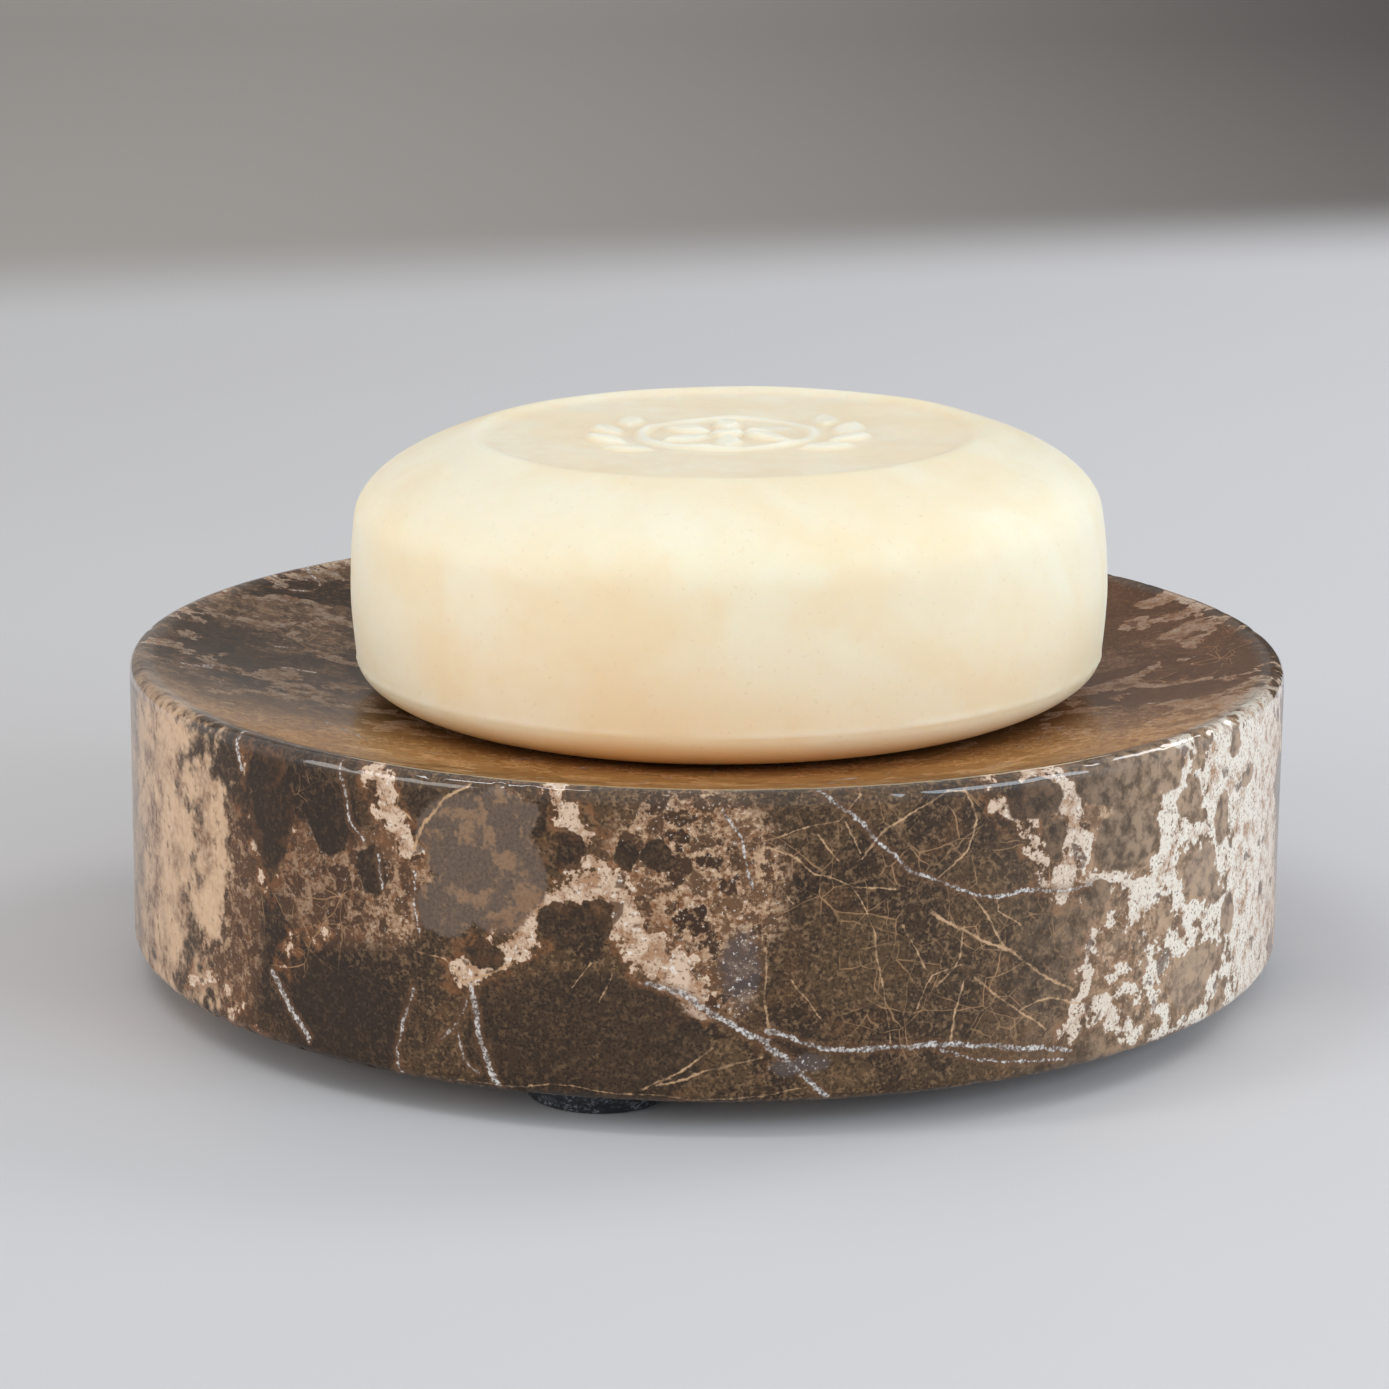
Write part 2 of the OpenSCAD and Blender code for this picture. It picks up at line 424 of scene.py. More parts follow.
class StoneNet(Net):
    """A node tree with the coordinates and noises that the layers of the stone share.

    Features are placed on the unrolled front of the side, by the distance around it to the right
    and the height. on_front fades out over the rim, on the underside and towards the back.
    """

    def __init__(self, name):
        super().__init__(name)
        self.place = self.millimetres()
        self.x, self.y, self.z = self.split(self.place)
        flat_place = self.vector("MULTIPLY", self.place, (1, 1, 0)).outputs[0]
        self.radius = self.vector("LENGTH", flat_place).outputs["Value"]
        turned = self.math("ARCTAN2", self.x, self.times(self.y, -1.0))
        around = self.times(turned, dish_r)
        unrolled = self.node("CombineXYZ", {0: around, 1: self.z, 2: 0.0}).outputs[0]
        self.on_front = self.times(self.ramp(self.radius, 50, 55.5),
                                   self.ramp(self.math("ABSOLUTE", around), 84, 66))

        # Rough outlines for patches, gentler ones for veins, and a warped space for cracks.
        self.patch_front = self.warp(self.warp(unrolled, 4, 2.4), 0.8, 0.9)
        vein_front = self.warp(self.warp(unrolled, 6, 1.7, 1), 0.9, 0.25, 1)
        self.vein_front = self.vector("MULTIPLY", vein_front, (1, 1, 0)).outputs[0]
        self.cracked_place = self.warp(self.warp(self.place, 7, 2.2), 1.0, 0.25)

        # These noises are sampled in space, so that they run on over the rim.
        self.broad = self.noise(self.place, 16, 2)
        self.middling = self.noise(self.place, 4, 3, 0.6)
        self.patchy = self.noise(self.place, 1.5, 4, 0.62)
        self.grain = self.noise(self.place, 0.6, 3, 0.65)
        self.speck = self.noise(self.place, 0.3, 2, 0.6)

        # The stone is darker to the left of the front, and paler to its right.
        darker = self.times(self.ramp(around, -22, -38, 0.0, 0.5), self.ramp(around, -60, -48))
        self.darker = self.times(darker, self.on_front)
        self.paler = self.times(self.ramp(around, 24, 52), self.on_front)

    def on_both(self, front, other):
        """One value on the front of the side, another one everywhere else."""
        return self.add(self.times(front, self.on_front), self.times(other, self.inverse(self.on_front)))


def clast_shares(net, low, high):
    """Where single clasts stay whole: all of them, and the grey ones."""
    grey_share = oval_share(net, net.patch_front, ovals_near(GREY_CLASTS, low, high))
    dark_share = oval_share(net, net.patch_front, ovals_near(DARK_CLASTS, low, high))
    clast_share = net.math("MAXIMUM", dark_share, grey_share)
    clast = net.times(net.ramp(clast_share, -0.05, 0.07), net.on_front)
    grey_clast = net.times(net.ramp(grey_share, -0.05, 0.07), net.on_front)
    return clast, grey_clast


def cream_depth(net, low, high):
    """How far inside the cream cement a point is, in millimetres, and below 0 outside it."""
    band = net.times(line_distance(net, net.patch_front, bands_near(CREAM_BANDS, low, high)), -1.0)
    zone = net.times(oval_share(net, net.patch_front, ovals_near(CREAM_ZONES, low, high)), 6.0)
    front = net.add(net.math("MAXIMUM", band, zone), net.ramp(net.patchy, 0.3, 0.7, -0.9, 0.9))
    # Away from the front, the cement follows the middle level of the broad noise.
    away = net.math("ABSOLUTE", net.math("SUBTRACT", net.broad, 0.5))
    other = net.add(net.ramp(away, 0.0, 0.08, 2.2, -2.2), net.ramp(net.patchy, 0.3, 0.7, -1.2, 1.2))
    other = net.add(other, net.ramp(net.middling, 0.36, 0.6, -3.2, 0.6))
    return net.on_both(front, other)


def broken_and_tan_shares(net, clast, low, high):
    """Where the stone is finely broken, and where it is tan."""
    other = net.ramp(net.add(net.noise(net.place, 22, 1), net.times(net.middling, 0.4)), 0.66, 0.8)
    fine_share = oval_share(net, net.patch_front, ovals_near(FINE_ZONES, low, high))
    fine = net.times(net.on_both(net.ramp(fine_share, -0.1, 0.25), other), net.inverse(clast))
    tan_share = net.add(oval_share(net, net.patch_front, ovals_near(TAN_ZONES, low, high)),
                        net.ramp(net.patchy, 0.3, 0.7, -0.25, 0.25))
    tan_share = net.add(tan_share, net.ramp(net.middling, 0.3, 0.7, -0.3, 0.3))
    tan = net.on_both(net.ramp(tan_share, -0.2, 0.3), net.times(other, 0.3))
    return fine, tan


def brown_stone(net, clast, grey_clast):
    """Brown stone with a tone of its own in each clast, a soft mottle and a fine grain."""
    tone = net.split(net.cells(net.cracked_place, 6.5).outputs["Color"])[0]
    brown = net.mix(tone, srgb(54, 38, 25), srgb(88, 66, 43))
    brown = net.mix(net.ramp(net.middling, 0.5, 0.72, 0.0, 0.7), brown, srgb(106, 74, 46))
    brown = net.mix(net.times(clast, 0.75), brown, srgb(54, 40, 28))
    brown = net.mix(net.times(grey_clast, 0.85), brown, srgb(112, 94, 81))
    lively = net.inverse(net.times(clast, 0.6))
    brown = net.mix(net.times(net.ramp(net.patchy, 0.5, 0.7, 0.0, 0.5), lively), brown, srgb(130, 98, 68))
    grey_mottle = net.times(grey_clast, net.ramp(net.add(net.patchy, net.middling), 1.04, 1.16))
    brown = net.mix(net.times(grey_mottle, 0.75), brown, srgb(154, 122, 94))
    brown = net.mix(net.times(net.ramp(net.grain, 0.5, 0.66, 0.0, 0.5), lively), brown, srgb(150, 118, 86))
    dark_grain = net.times(net.ramp(net.speck, 0.52, 0.36, 0.0, 0.6),
                           net.inverse(net.times(grey_clast, 0.6)))
    brown = net.mix(dark_grain, brown, srgb(30, 20, 12))
    return net.mix(net.darker, brown, srgb(40, 26, 16))


def broken_stone(net, small_edge, small_tone):
    """Pebbles of every tone in a tan paste of uneven width, stained and grainy."""
    pebble = net.mix(small_tone, srgb(58, 38, 24), srgb(116, 84, 58))
    pebble = net.mix(net.ramp(net.grain, 0.52, 0.66, 0.0, 0.6), pebble, srgb(166, 128, 94))
    paste_width = net.ramp(net.patchy, 0.42, 0.66, 0.0, 0.3)
    paste_share = net.ramp(net.math("SUBTRACT", small_edge, paste_width), 0.05, -0.05)
    paste = net.mix(net.ramp(net.grain, 0.36, 0.62), srgb(132, 88, 54), srgb(210, 174, 140))
    broken = net.mix(net.times(paste_share, 0.85), pebble, paste)
    broken = net.mix(net.ramp(net.speck, 0.62, 0.72, 0.0, 0.7), broken, srgb(232, 220, 206))
    broken = net.mix(net.ramp(net.speck, 0.44, 0.3, 0.0, 0.7), broken, srgb(58, 38, 24))
    return net.mix(net.darker, broken, srgb(82, 53, 33))


def tan_stone(net):
    """Tan stone, clouded with brown."""
    tan = net.mix(net.ramp(net.middling, 0.32, 0.62), srgb(120, 80, 51), srgb(214, 177, 142))
    tan = net.mix(net.ramp(net.grain, 0.35, 0.7, 0.0, 0.45), tan, srgb(228, 202, 174))
    return net.mix(net.ramp(net.patchy, 0.46, 0.3, 0.0, 0.75), tan, srgb(100, 68, 46))


def cream_cement(net, small_edge, small_tone):
    """Cream cement with brown stains, sparse dark pebbles and white grains."""
    cement = net.mix(net.ramp(net.patchy, 0.4, 0.6), srgb(174, 134, 102), srgb(218, 190, 164))
    cement = net.mix(net.times(net.paler, net.ramp(net.patchy, 0.3, 0.55)), cement, srgb(234, 222, 206))
    cement = net.mix(net.ramp(net.speck, 0.46, 0.32, 0.0, 0.8), cement, srgb(104, 70, 46))
    pebble = net.times(net.ramp(small_edge, 0.16, 0.22), net.ramp(small_tone, 0.62, 0.6))
    pebble = net.times(pebble, net.ramp(net.middling, 0.5, 0.56))
    cement = net.mix(net.times(pebble, 0.8), cement, srgb(92, 66, 48))
    return net.mix(net.ramp(net.grain, 0.58, 0.68, 0.0, 0.8), cement, srgb(240, 230, 218))


def hairline_share(net, clast, low, high):
    """Hairline cracks, present in some places only."""
    cracks = []
    for size, width in HAIRLINE_FAMILIES:
        edge = net.cells(net.cracked_place, size, "DISTANCE_TO_EDGE").outputs["Distance"]
        cracks.append(net.ramp(edge, net.times(net.middling, width), 0.0))
    veined_share = oval_share(net, net.patch_front, ovals_near(VEINED_ZONES, low, high))
    presence = net.on_both(net.ramp(veined_share, -0.1, 0.3), net.ramp(net.broad, 0.44, 0.6))
    presence = net.times(presence, net.ramp(net.middling, 0.4, 0.64, 0.1, 0.8))
    return net.times(net.most(cracks), net.times(presence, net.inverse(clast)))


def tan_vein_share(net, uneven, low, high):
    """The placed tan veins, which fade in and out along their way."""
    distance = net.add(line_distance(net, net.vein_front, bands_near(TAN_VEINS, low, high)),
                       net.times(uneven, 0.5))
    share = net.times(net.ramp(distance, 0.05, -0.1), net.on_front)
    return net.times(share, net.ramp(net.patchy, 0.32, 0.58, 0.15, 1.0))


def calcite_distance(net, uneven, low, high):
    """How far outside the calcite veins a point is, in millimetres."""
    front = net.add(line_distance(net, net.vein_front, bands_near(CALCITE_VEINS, low, high)), uneven)
    # Away from the front, the veins follow the middle level of a very broad noise.
    level = net.noise(net.cracked_place, 24, 1)
    other = net.times(net.math("ABSOLUTE", net.math("SUBTRACT", level, 0.5)), 60.0)
    other = net.add(net.add(other, uneven), net.ramp(net.middling, 0.3, 0.7, 0.7, -0.4))
    return net.on_both(front, other)


def stone_material(name, low, high):
    """Polished dark breccia marble: brown clasts in tan and cream cement, crossed by calcite veins.

    It holds the placed features from low to high, in millimetres round the front of the side.
    """
    net = StoneNet(name)
    clast, grey_clast = clast_shares(net, low, high)
    fine, tan = broken_and_tan_shares(net, clast, low, high)
    depth = cream_depth(net, low, high)
    cream = net.times(net.ramp(depth, -0.1, 0.15), net.inverse(clast))
    rust = net.times(net.ramp(depth, -1.8, 0.0), net.inverse(net.times(clast, 0.7)))
    small_edge = net.cells(net.cracked_place, 2.6, "DISTANCE_TO_EDGE").outputs["Distance"]
    small_tone = net.split(net.cells(net.cracked_place, 2.6).outputs["Color"])[1]

    colour = brown_stone(net, clast, grey_clast)
    colour = net.mix(net.times(fine, 0.95), colour, broken_stone(net, small_edge, small_tone))
    colour = net.mix(net.times(tan, 0.9), colour, tan_stone(net))
    colour = net.mix(net.times(rust, net.ramp(net.patchy, 0.4, 0.6, 0.1, 0.7)), colour, srgb(132, 86, 52))
    colour = net.mix(net.times(net.paler, net.ramp(net.patchy, 0.36, 0.6, 0.2, 0.8)), colour,
                     srgb(188, 158, 130))
    colour = net.mix(cream, colour, cream_cement(net, small_edge, small_tone))

    # The bowl is darker, from dark brown on its left to redder brown on its right. Towards the
    # front it carries a painted reflection: a golden tawny tint standing in for light thrown from the soap.
    in_bowl = net.times(net.ramp(net.radius, 56.5, 54), net.ramp(net.z, 20, 24))
    bowl_stone = net.mix(net.ramp(net.x, -40, 40), srgb(46, 33, 23), srgb(112, 68, 38))
    colour = net.mix(net.times(in_bowl, 0.55), colour, bowl_stone)
    painted_soap_reflection = net.times(in_bowl, net.ramp(net.y, -8, -42))
    painted_soap_reflection = net.times(painted_soap_reflection, net.ramp(net.patchy, 0.3, 0.7, 0.95, 0.6))
    painted_reflection_colour = net.mix(net.ramp(net.grain, 0.35, 0.65), srgb(184, 118, 60), srgb(246, 190, 118))
    colour = net.mix(painted_soap_reflection, colour, painted_reflection_colour)

    # Cracks and veins. Calcite is grey between white grains, with a rusty border.
    uneven = net.ramp(net.grain, 0.3, 0.7, 0.12, -0.12)
    colour = net.mix(hairline_share(net, clast, low, high), colour, srgb(178, 138, 100))
    colour = net.mix(tan_vein_share(net, uneven, low, high), colour, srgb(200, 162, 124))
    distance = calcite_distance(net, uneven, low, high)
    calcite = net.ramp(distance, 0.03, -0.15)
    colour = net.mix(net.times(net.ramp(distance, 0.6, 0.0), 0.5), colour, srgb(112, 78, 52))
    white = net.mix(net.ramp(net.speck, 0.42, 0.6), srgb(118, 108, 102), srgb(224, 218, 212))
    colour = net.mix(net.times(calcite, net.ramp(net.patchy, 0.32, 0.58, 0.25, 0.9)), colour, white)

    purple_share = oval_share(net, net.patch_front, ovals_near(PURPLE_SPOTS, low, high))
    purple = net.times(net.ramp(purple_share, -0.1, 0.4), net.on_front)
    purple_stone = net.mix(net.ramp(net.speck, 0.6, 0.7), srgb(88, 76, 72), srgb(214, 208, 206))
    colour = net.mix(net.times(purple, 0.75), colour, purple_stone)

    # The rounded rim is polished best.
    rim = net.times(net.ramp(net.z, 30.4, 31.2), net.ramp(net.radius, 54.5, 56))
    roughness = net.times(net.ramp(net.middling, 0.3, 0.7, 0.13, 0.22), net.ramp(rim, 0.0, 1.0, 1.0, 0.4))
    roughness = net.add(roughness, net.times(net.math("MAXIMUM", calcite, cream), 0.08))
    # The clear coat lies on the polished rim and, at half strength, over the painted golden reflection in
    # the bowl.
    return net.finish(Base_Color=colour, Roughness=roughness, Normal=net.bump(net.grain, 0.006),
                      IOR=1.37, Coat_Weight=net.add(net.times(rim, 0.8), net.times(painted_soap_reflection, 0.5)),
                      Coat_Roughness=0.04)


def soap_material():
    """Hard-milled cream soap: waxy, a little translucent, faintly cloudy, with fine scuffs and painted
    shade, highlight and amber bounce light.
    """
    net = Net("cream_soap")
    place = net.millimetres()
    cloud = net.noise(net.warp(place, 18, 14), 14, 3)
    mottle = net.noise(place, 2.2, 3, 0.55)
    speck = net.noise(place, 0.5, 2)
    colour = net.mix(net.ramp(cloud, 0.35, 0.65), srgb(247, 228, 194), srgb(252, 236, 211))
    colour = net.mix(net.ramp(mottle, 0.5, 0.75, 0.0, 0.15), colour, srgb(240, 216, 178))
    colour = net.mix(net.ramp(speck, 0.66, 0.74, 0.0, 0.3), colour, srgb(226, 198, 156))
    panel, ornament = (net.node("Attribute", {}, attribute_name=name).outputs["Fac"]
                       for name in ("panel", "ornament"))
    # Painted shade in the sunk panel: its floor is tinted darker and warmer, in mottled strength.
    colour = net.mix(net.times(panel, net.ramp(mottle, 0.3, 0.6, 0.05, 0.25)), colour, srgb(242, 214, 176))
    # Painted highlight on the raised ornament: its tops are tinted whiter.
    colour = net.mix(net.times(ornament, 0.45), colour, srgb(255, 248, 236))
    height = net.split(place)[2]
    # Painted amber bounce light from the brown stone along the bottom of the bar.
    colour = net.mix(net.ramp(height, 31.5, 28, 0.0, 0.85), colour, srgb(255, 204, 122))
    scuff_place = net.vector("MULTIPLY", net.warp(place, 6, 3), (0.12, 0.12, 1.4)).outputs[0]
    scuff = net.noise(scuff_place, 1.1, 3, 0.6)
    roughness = net.add(net.ramp(scuff, 0.3, 0.7, 0.46, 0.6), net.times(mottle, 0.06))
    relief = net.add(net.times(mottle, 0.6), net.times(scuff, 0.3))
    return net.finish(Base_Color=colour, Roughness=roughness, Normal=net.bump(relief, 0.05),
                      Subsurface_Weight=1.0, Subsurface_Radius=(1.0, 0.85, 0.65),
                      Subsurface_Scale=2.5 * MM, IOR=1.46)


def rubber_material():
    """Black moulded rubber, dusty on its raised grain."""
    net = Net("black_rubber")
    place = net.millimetres()
    grain = net.noise(place, 0.35, 3, 0.6)
    dust = net.times(net.ramp(net.noise(place, 1.8, 3), 0.34, 0.6), net.ramp(grain, 0.45, 0.7))
    colour = net.mix(net.times(dust, 0.8), srgb(30, 31, 34), srgb(142, 146, 154))
    roughness = net.ramp(dust, 0.0, 1.0, 0.55, 0.85)
    return net.finish(Base_Color=colour, Roughness=roughness, Normal=net.bump(grain, 0.08))


def adhesive_material():
    """Pale grey foam tape, with its open cells at the cut edge."""
    net = Net("adhesive_foam")
    place = net.millimetres()
    cell = net.cells(place, 0.22).outputs["Distance"]
    stain = net.noise(place, 3, 2)
    colour = net.mix(net.ramp(cell, 0.5, 0.1, 0.0, 0.6), srgb(176, 176, 170), srgb(110, 110, 106))
    colour = net.mix(net.ramp(stain, 0.45, 0.7, 0.0, 0.4), colour, srgb(142, 132, 116))
    return net.finish(Base_Color=colour, Roughness=0.85, Normal=net.bump(cell, 0.05))


def counter_material():
    """Pale counter up to a soft slanting edge, painted darker to the left and brighter to the right as
    light, and a grey wall beyond it, painted darker to the right as shade.
    """
    net = Net("counter_and_wall")
    place = net.millimetres()
    x, y = net.split(place)[:2]
    # Painted light across the counter: darker to the left, brighter to the right.
    pale = net.mix(net.ramp(x, -220, 220), srgb(203, 201, 200), srgb(226, 224, 227))
    pale = net.mix(net.ramp(net.noise(place, 160, 2), 0.3, 0.7, 0.0, 0.3), pale, srgb(214, 214, 214))
    # Painted shade across the wall: darker to the right.
    wall = net.mix(net.ramp(x, -150, 330), srgb(172, 166, 160), srgb(84, 80, 77))
    edge = net.math("SUBTRACT", y, net.times(x, 0.36))
    return net.finish(Base_Color=net.mix(net.ramp(edge, 445, 560), pale, wall), Roughness=0.6)


# ---------------------------------------------------------------- pieces

def bowl_height(radius):
    """Height of the bowl's surface above the floor."""
    return bowl_ball_z - math.sqrt(bowl_ball_r ** 2 - radius ** 2)


def make_dish():
    """The turned stone: a bowl that is part of a sphere, eased edges and a flat underside."""
    bowl = [(r, bowl_height(r)) for r in np.linspace(0, bowl_r, 80)]
    section = (bowl
               + arc((dish_r - rim_edge_r, rim_z - rim_edge_r), (rim_edge_r, rim_edge_r), 90, 0, 12)
               + arc((dish_r - base_edge_r, base_z + base_edge_r), (base_edge_r, base_edge_r), 0, -90, 12)
               + [(0, base_z)])

    def spacing(radius, height):
        near_rim = abs(radius - dish_r) < 2.2 and height > rim_z - 1.8
        near_base = radius > dish_r - 2 and height < base_z + 2
        if near_rim or near_base:
            return 0.16
        if radius > dish_r - 0.01:
            return 0.7
        return 1.1 if height > base_z + 0.01 else 4.0

    def shape(points):
        """Softens the rim unevenly and nicks both edges."""
        radius = np.hypot(points[:, 0], points[:, 1])
        out = np.stack([points[:, 0] / np.maximum(radius, 1), points[:, 1] / np.maximum(radius, 1)], 1)
        edge = smooth(radius, dish_r - 2.4, dish_r - 0.6)
        top = smooth(points[:, 2], rim_z - 2.2, rim_z - 0.4)
        bottom = smooth(points[:, 2], base_z + 2.2, base_z + 0.5)
        wear = edge * np.maximum(top, bottom)
        busy = np.flatnonzero(wear > 0)
        nick = np.zeros(len(points))
        near = points[busy]
        pit = np.clip(perlin(near, 0.9, 1) - 0.42, 0, None) * 1.1
        sweep = np.clip(perlin(near, 3.5, 2) - 0.35, 0, None) * 0.5
        nick[busy] = (pit + sweep) * (0.6 + 0.4 * bottom[busy])
        depth = np.minimum(nick * wear, 0.35)
        points[:, :2] -= out * (depth * 0.8)[:, None]
        points[:, 2] -= depth * 0.6 * (top - bottom)
        return points

    dish = lathe("marble_dish", resample(section, spacing), DISH_FACETS, shape)
    add_stone(dish.data)
    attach(dish, "dish")
    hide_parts("stone_dish")


def add_stone(mesh):
    """Gives each sector of the dish's front its own stone material, and the rest a plain one."""
    mesh.materials.append(stone_material("breccia_marble", FAR, FAR))
    for number, (low, high) in enumerate(zip(SECTOR_EDGES, SECTOR_EDGES[1:]), 1):
        mesh.materials.append(stone_material(f"breccia_marble_front_{number}",
                                             low - SECTOR_OVERLAP, high + SECTOR_OVERLAP))
    middles = np.zeros(len(mesh.polygons) * 3)
    mesh.polygons.foreach_get("center", middles)
    x, y = middles.reshape(-1, 3).T[:2] / MM
    around = np.arctan2(x, -y) * dish_r
    sector = np.searchsorted(SECTOR_EDGES, around)
    on_front = (np.hypot(x, y) > 50) & (sector > 0) & (sector < len(SECTOR_EDGES))
    mesh.polygons.foreach_set("material_index", np.where(on_front, sector, 0).astype(np.int32))


def oval_distance(x, y, middle_r, angle, lean, length, arc_r):
    """Signed distance, below 0 inside, to a pointed oval at that distance and angle from the middle."""
    dx = x - middle_r * math.cos(angle)
    dy = y - middle_r * math.sin(angle)
    along = dx * math.cos(lean) + dy * math.sin(lean)
    across = -dx * math.sin(lean) + dy * math.cos(lean)
    offset = math.sqrt(arc_r ** 2 - (length / 2) ** 2)
    return np.hypot(along, np.abs(across) + offset) - arc_r


def ornament_height(x, y):
    """Height above the panel of a six-petalled rosette in a ring, with leaves on both sides."""
    radius = np.hypot(x, y)
    shapes = [radius - button_r, np.abs(radius - ring_middle_r) - ring_half_w]
    for petal in range(petals):
        angle = math.radians(90 + 360 / petals * petal)
        shapes.append(oval_distance(x, y, petal_middle_r, angle, angle, petal_l, petal_arc_r))
    for side in (-1, 1):
        for leaf in range(leaves):
            angle = math.radians(leaf_step * (leaf - (leaves - 1) / 2) + (0 if side > 0 else 180))
            lean = angle + math.radians(90 - side * leaf_lean)
            shapes.append(oval_distance(x, y, leaf_ring_r, angle, lean, leaf_l, leaf_arc_r))
    inside = np.min(shapes, axis=0)
    return relief_h * smooth(-inside, -0.6, 0.5)


def mark_panel(mesh, panel_z):
    """Stores where the sunk panel and its ornament are, from 0 to 1, for the painted shade and highlight in
    the soap's colour.
    """
    places = np.zeros(len(mesh.vertices) * 3)
    mesh.vertices.foreach_get("co", places)
    x, y, z = places.reshape(-1, 3).T / MM
    on_panel = smooth(-np.hypot(x, y), -puck_top_r, 1 - puck_top_r) * (z > panel_z - 0.6)
    for name, share in (("panel", on_panel), ("ornament", on_panel * ornament_height(x, y) / relief_h)):
        mesh.attributes.new(name, "FLOAT", "POINT").data.foreach_set("value", share.astype(np.float32))


def make_puck():
    """The bar of soap, made upright on its own axis and then laid into the bowl."""
    rise = puck_side_top - puck_under_h
    swell = [(puck_side_r + puck_swell * math.sin(math.pi * t), puck_under_h + rise * t)
             for t in np.linspace(0, 1, 24)[1:-1]]
    edge_angle = math.degrees(math.acos(puck_top_r / puck_side_r))
    shoulder = arc((0, puck_side_top), (puck_side_r, puck_shoulder_h), 0, edge_angle, 40)
    panel_z = shoulder[-1][1] - panel_depth
    outline = (arc((puck_side_r - puck_under_w, puck_under_h), (puck_under_w, puck_under_h), -90, 0, 40)
               + swell + shoulder + [(puck_top_r - panel_slope, panel_z), (0, panel_z)])
    outline = [(0, 0)] + outline

    def spacing(radius, height):
        if height > panel_z - 0.5:
            return 0.22 if radius < 17 else 0.4
        if height < 0.02:
            return 2.0
        return 0.25 if abs(height - puck_under_h) < 1.2 else 0.5

    section = soften(resample(outline, spacing), 5)

    def shape(points):
        """The ornament, the mould's parting line, and the slight unevenness of a cast and handled bar."""
        radius = np.hypot(points[:, 0], points[:, 1])
        unit = points[:, :2] / np.maximum(radius, 0.001)[:, None]
        on_top = (points[:, 2] > panel_z - 0.4) & (radius < 20)
        wear = perlin(points, 4.5, 5)
        points[on_top, 2] += (ornament_height(points[on_top, 0], points[on_top, 1])
                              * (0.6 + 0.7 * wear[on_top]))
        near_line = np.exp(-((points[:, 2] - puck_under_h) / 0.28) ** 2) * (radius > puck_side_r - 3)
        burr = 0.10 + 0.12 * np.clip(perlin(points, 1.3, 6), -0.6, 1) + 0.1 * perlin(points, 6, 7)
        points[:, :2] += unit * (near_line * burr)[:, None]
        away = smooth(radius, 24, 30)
        wave = 0.10 * perlin(points, 16, 8) + 0.035 * perlin(points, 3.5, 9)
        points[:, :2] += unit * (wave * away)[:, None]
        points[:, 2] += 0.06 * perlin(points, 9, 10) * (points[:, 2] > puck_side_top)
        return points

    puck = lathe("soap_bar", section, PUCK_FACETS, shape)
    mark_panel(puck.data, panel_z)
    seat_rise = seat_gap + max(bowl_height(r) - (rim_z - bowl_depth) - h for r, h in outline[:40])
    puck_z = rim_z - bowl_depth + seat_rise
    slide_angle = math.asin(puck_slide / (bowl_ball_z - puck_z))
    puck.data.transform(Matrix.Translation((0, 0, bowl_ball_z * MM))
                        @ Matrix.Rotation(-slide_angle, 4, "Y")
                        @ Matrix.Translation((0, 0, (puck_z - bowl_ball_z) * MM))
                        @ Matrix.Rotation(-puck_lean, 4, "Y"))
    puck.data.materials.append(soap_material())
    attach(puck, "puck")
    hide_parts("soap_puck")


def make_foot(number, material):
    """A rubber bumper: a disc with fine moulded rings on its sole and a slightly uneven wall."""
    low, high = (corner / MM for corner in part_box(f"rubber_foot_{number}"))
    middle = (low + high) / 2
    sole_r = sole_d / 2
    outline = ([(0, 0.12), (sole_r - sole_edge_r - 0.6, 0.12)]
               + arc((sole_r - sole_edge_r, sole_edge_r), (sole_edge_r, sole_edge_r), -90, 0, 8)
               + [(foot_d / 2, foot_h - 0.35), (foot_d / 2, foot_h), (0, foot_h)])

    def shape(points):
        radius = np.hypot(points[:, 0], points[:, 1])
        on_sole = (points[:, 2] < 0.2) & (radius < sole_r - 1.5)
        points[on_sole, 2] += 0.05 * (1 + np.cos(radius[on_sole] * TURN / 1.2))
        on_wall = smooth(radius, sole_r - 0.6, sole_r - 0.2)
        uneven = 0.07 * perlin(points + number * 20, 1.6, 11)
        points[:, :2] *= (1 + on_wall * uneven / np.maximum(radius, 1))[:, None]
        return points

    foot = lathe(f"foot_{number}", resample(outline, lambda radius, height: 0.2), FOOT_FACETS, shape)
    foot.data.transform(Matrix.Translation((middle.x * MM, middle.y * MM, 0)))
    foot.data.materials.append(material)
    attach(foot, "dish")
    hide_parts(f"rubber_foot_{number}")


def make_pad(number, material):
    """A thin disc of foam tape, squeezed out a little unevenly at its edge."""
    low, high = (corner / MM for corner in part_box(f"adhesive_pad_{number}"))
    middle = (low + high) / 2
    half = (high.z - low.z) / 2
    outline = ([(0, low.z), (pad_d / 2 - 0.1, low.z)]
               + arc((pad_d / 2 - 0.1, middle.z), (0.16, half), -80, 80, 7)
               + [(pad_d / 2 - 0.1, high.z), (0, high.z)])

    def shape(points):
        radius = np.hypot(points[:, 0], points[:, 1])
        squeeze = 0.12 * perlin(points + number * 20, 2.2, 12) * smooth(radius, pad_d / 2 - 1, pad_d / 2)
        points[:, :2] *= (1 + squeeze / np.maximum(radius, 1))[:, None]
        return points

    pad = lathe(f"pad_{number}", resample(outline, lambda radius, height: 0.15), FOOT_FACETS, shape)
    pad.data.transform(Matrix.Translation((middle.x * MM, middle.y * MM, 0)))
    pad.data.materials.append(material)
    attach(pad, "dish")
    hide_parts(f"adhesive_pad_{number}")


make_dish()
make_puck()
rubber = rubber_material()
adhesive = adhesive_material()
for foot_number in range(1, 5):
    make_foot(foot_number, rubber)
    make_pad(foot_number, adhesive)


# ---------------------------------------------------------------- studio

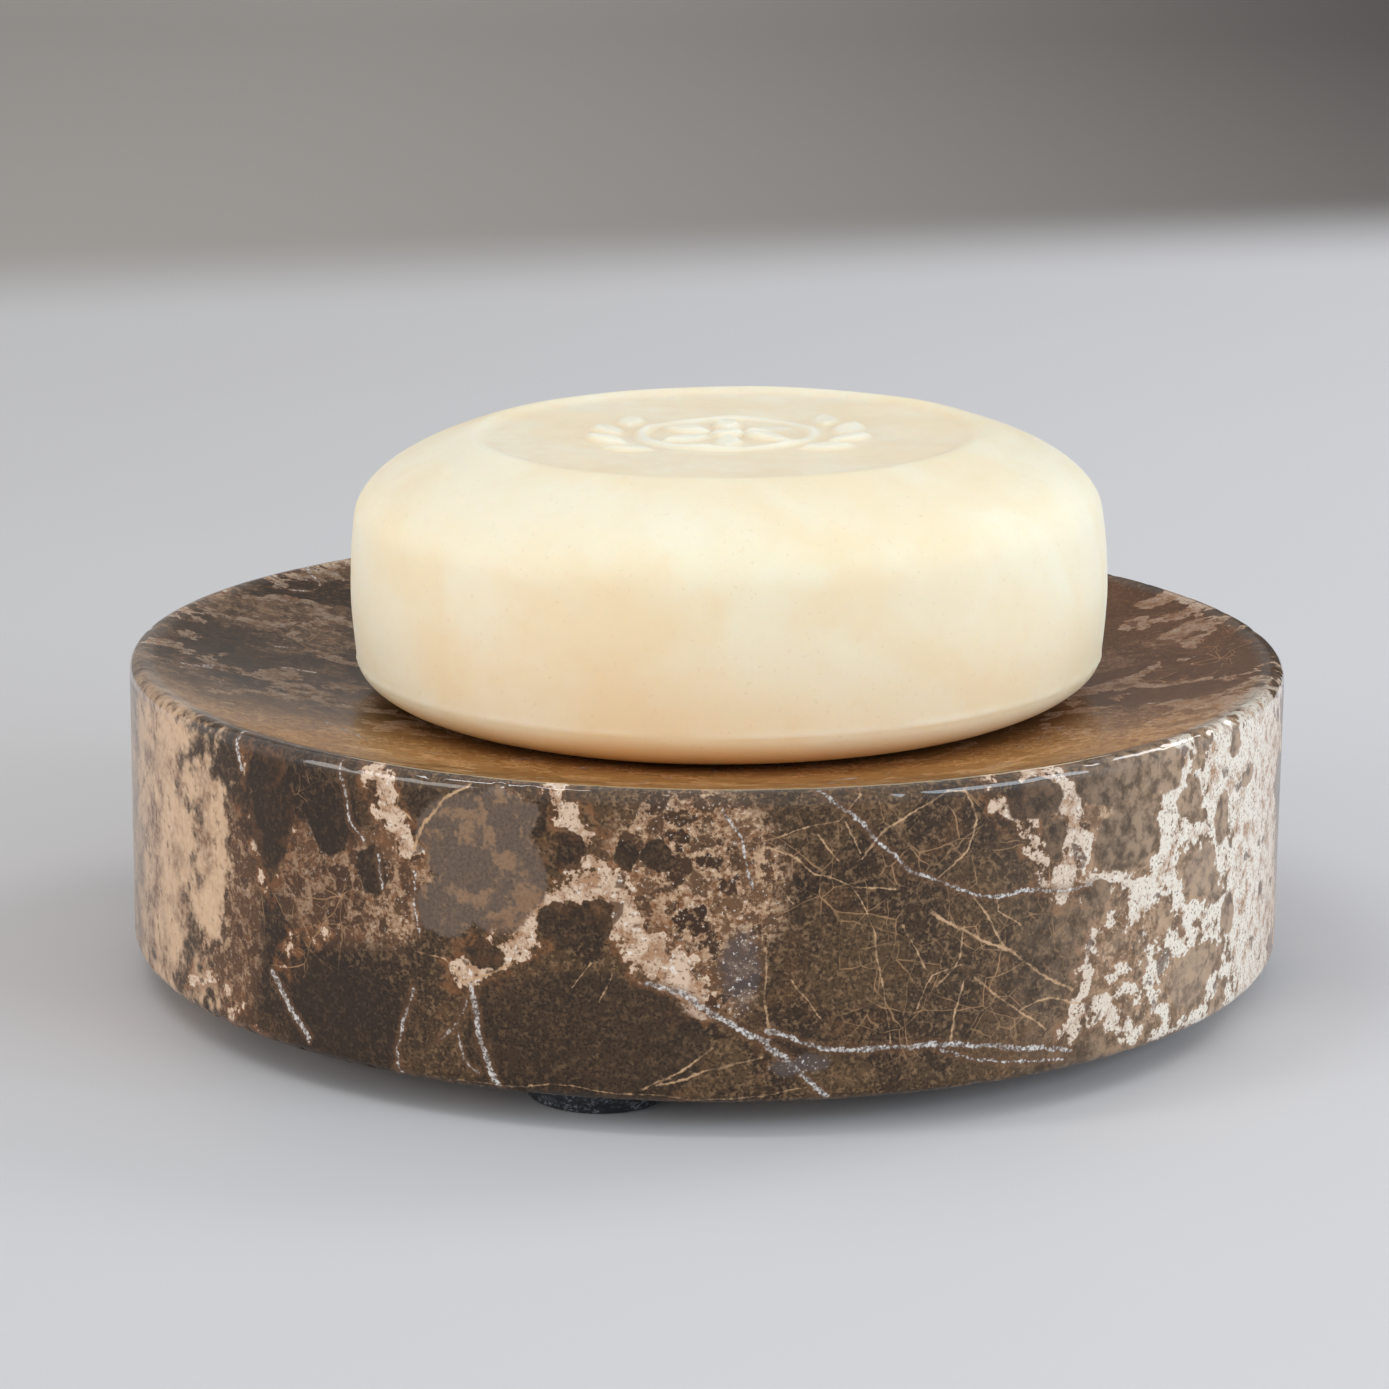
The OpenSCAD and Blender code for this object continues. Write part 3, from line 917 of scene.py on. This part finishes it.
def make_counter():
    """A plain counter that turns into a plain grey wall in one smooth bend."""
    front_y = -1.6
    bend_y = 1.0
    bend_r = 0.6
    wall_top = 1.6
    half_w = 2.4
    bend = arc((bend_y, bend_r), (bend_r, bend_r), -90, 0, 24)
    line = [(front_y, 0)] + bend + [(bend_y + bend_r, wall_top)]
    points = [(side * half_w, y, z) for y, z in line for side in (-1, 1)]
    faces = [(2 * k, 2 * k + 1, 2 * k + 3, 2 * k + 2) for k in range(len(line) - 1)]
    mesh = bpy.data.meshes.new("counter")
    mesh.from_pydata(points, [], faces)
    mesh.polygons.foreach_set("use_smooth", [True] * len(mesh.polygons))
    mesh.materials.append(counter_material())
    counter = bpy.data.objects.new("counter", mesh)
    bpy.context.scene.collection.objects.link(counter)


def add_softbox(name, place, size, power, colour):
    """A rectangular light that points at the dish."""
    light = bpy.data.lights.new(name, "AREA")
    light.shape = "RECTANGLE"
    light.size = size[0]
    light.size_y = size[1]
    light.energy = power
    light.color = colour
    lamp = bpy.data.objects.new(name, light)
    lamp.location = place
    lamp.rotation_euler = (Vector((0, 0, 0.03)) - Vector(place)).to_track_quat("-Z", "Y").to_euler()
    bpy.context.scene.collection.objects.link(lamp)


def add_world():
    """Even light from all round."""
    world = bpy.data.worlds.new("soft_room")
    world.use_nodes = True
    sky = world.node_tree.nodes["Background"]
    sky.inputs["Color"].default_value = (0.95, 0.97, 1.0, 1)
    sky.inputs["Strength"].default_value = 0.68
    bpy.context.scene.world = world


def set_display():
    """Shows colours as they are, without a film curve."""
    bpy.context.scene.view_settings.view_transform = "Standard"


def add_camera():
    """Looks 13.6 degrees down at the front of the dish, from 465 mm away, with a long lens."""
    camera = bpy.data.cameras.new("camera")
    camera.lens = 117.95
    camera.sensor_width = 36
    camera.clip_start = 0.01
    seen = bpy.data.objects.new("camera", camera)
    seen.matrix_world = (Matrix.Translation((0, -0.4447, 0.1346))
                         @ Matrix.Rotation(math.radians(0.156), 4, "Z")
                         @ Matrix.Rotation(math.radians(90 - 13.605), 4, "X")
                         @ Matrix.Rotation(math.radians(0.508), 4, "Z"))
    bpy.context.scene.collection.objects.link(seen)
    bpy.context.scene.camera = seen


make_counter()
for name, place, size, power, colour in (
        ("key_right_back", (0.92, 0.59, 0.91), (0.4, 0.4), 2.9, (1.0, 0.99, 0.97)),
        ("overhead", (-0.35, -0.1, 0.85), (0.08, 0.36), 0.9, (1.0, 1.0, 1.0)),
        ("window_left", (-1.1, -0.55, 0.3), (0.8, 0.6), 5.2, (1.0, 0.98, 0.95)),
        ("fill_right", (1.05, -0.6, 0.48), (0.8, 0.6), 7.6, (0.74, 0.88, 1.0))):
    add_softbox(name, place, size, power, colour)
add_world()
set_display()
add_camera()
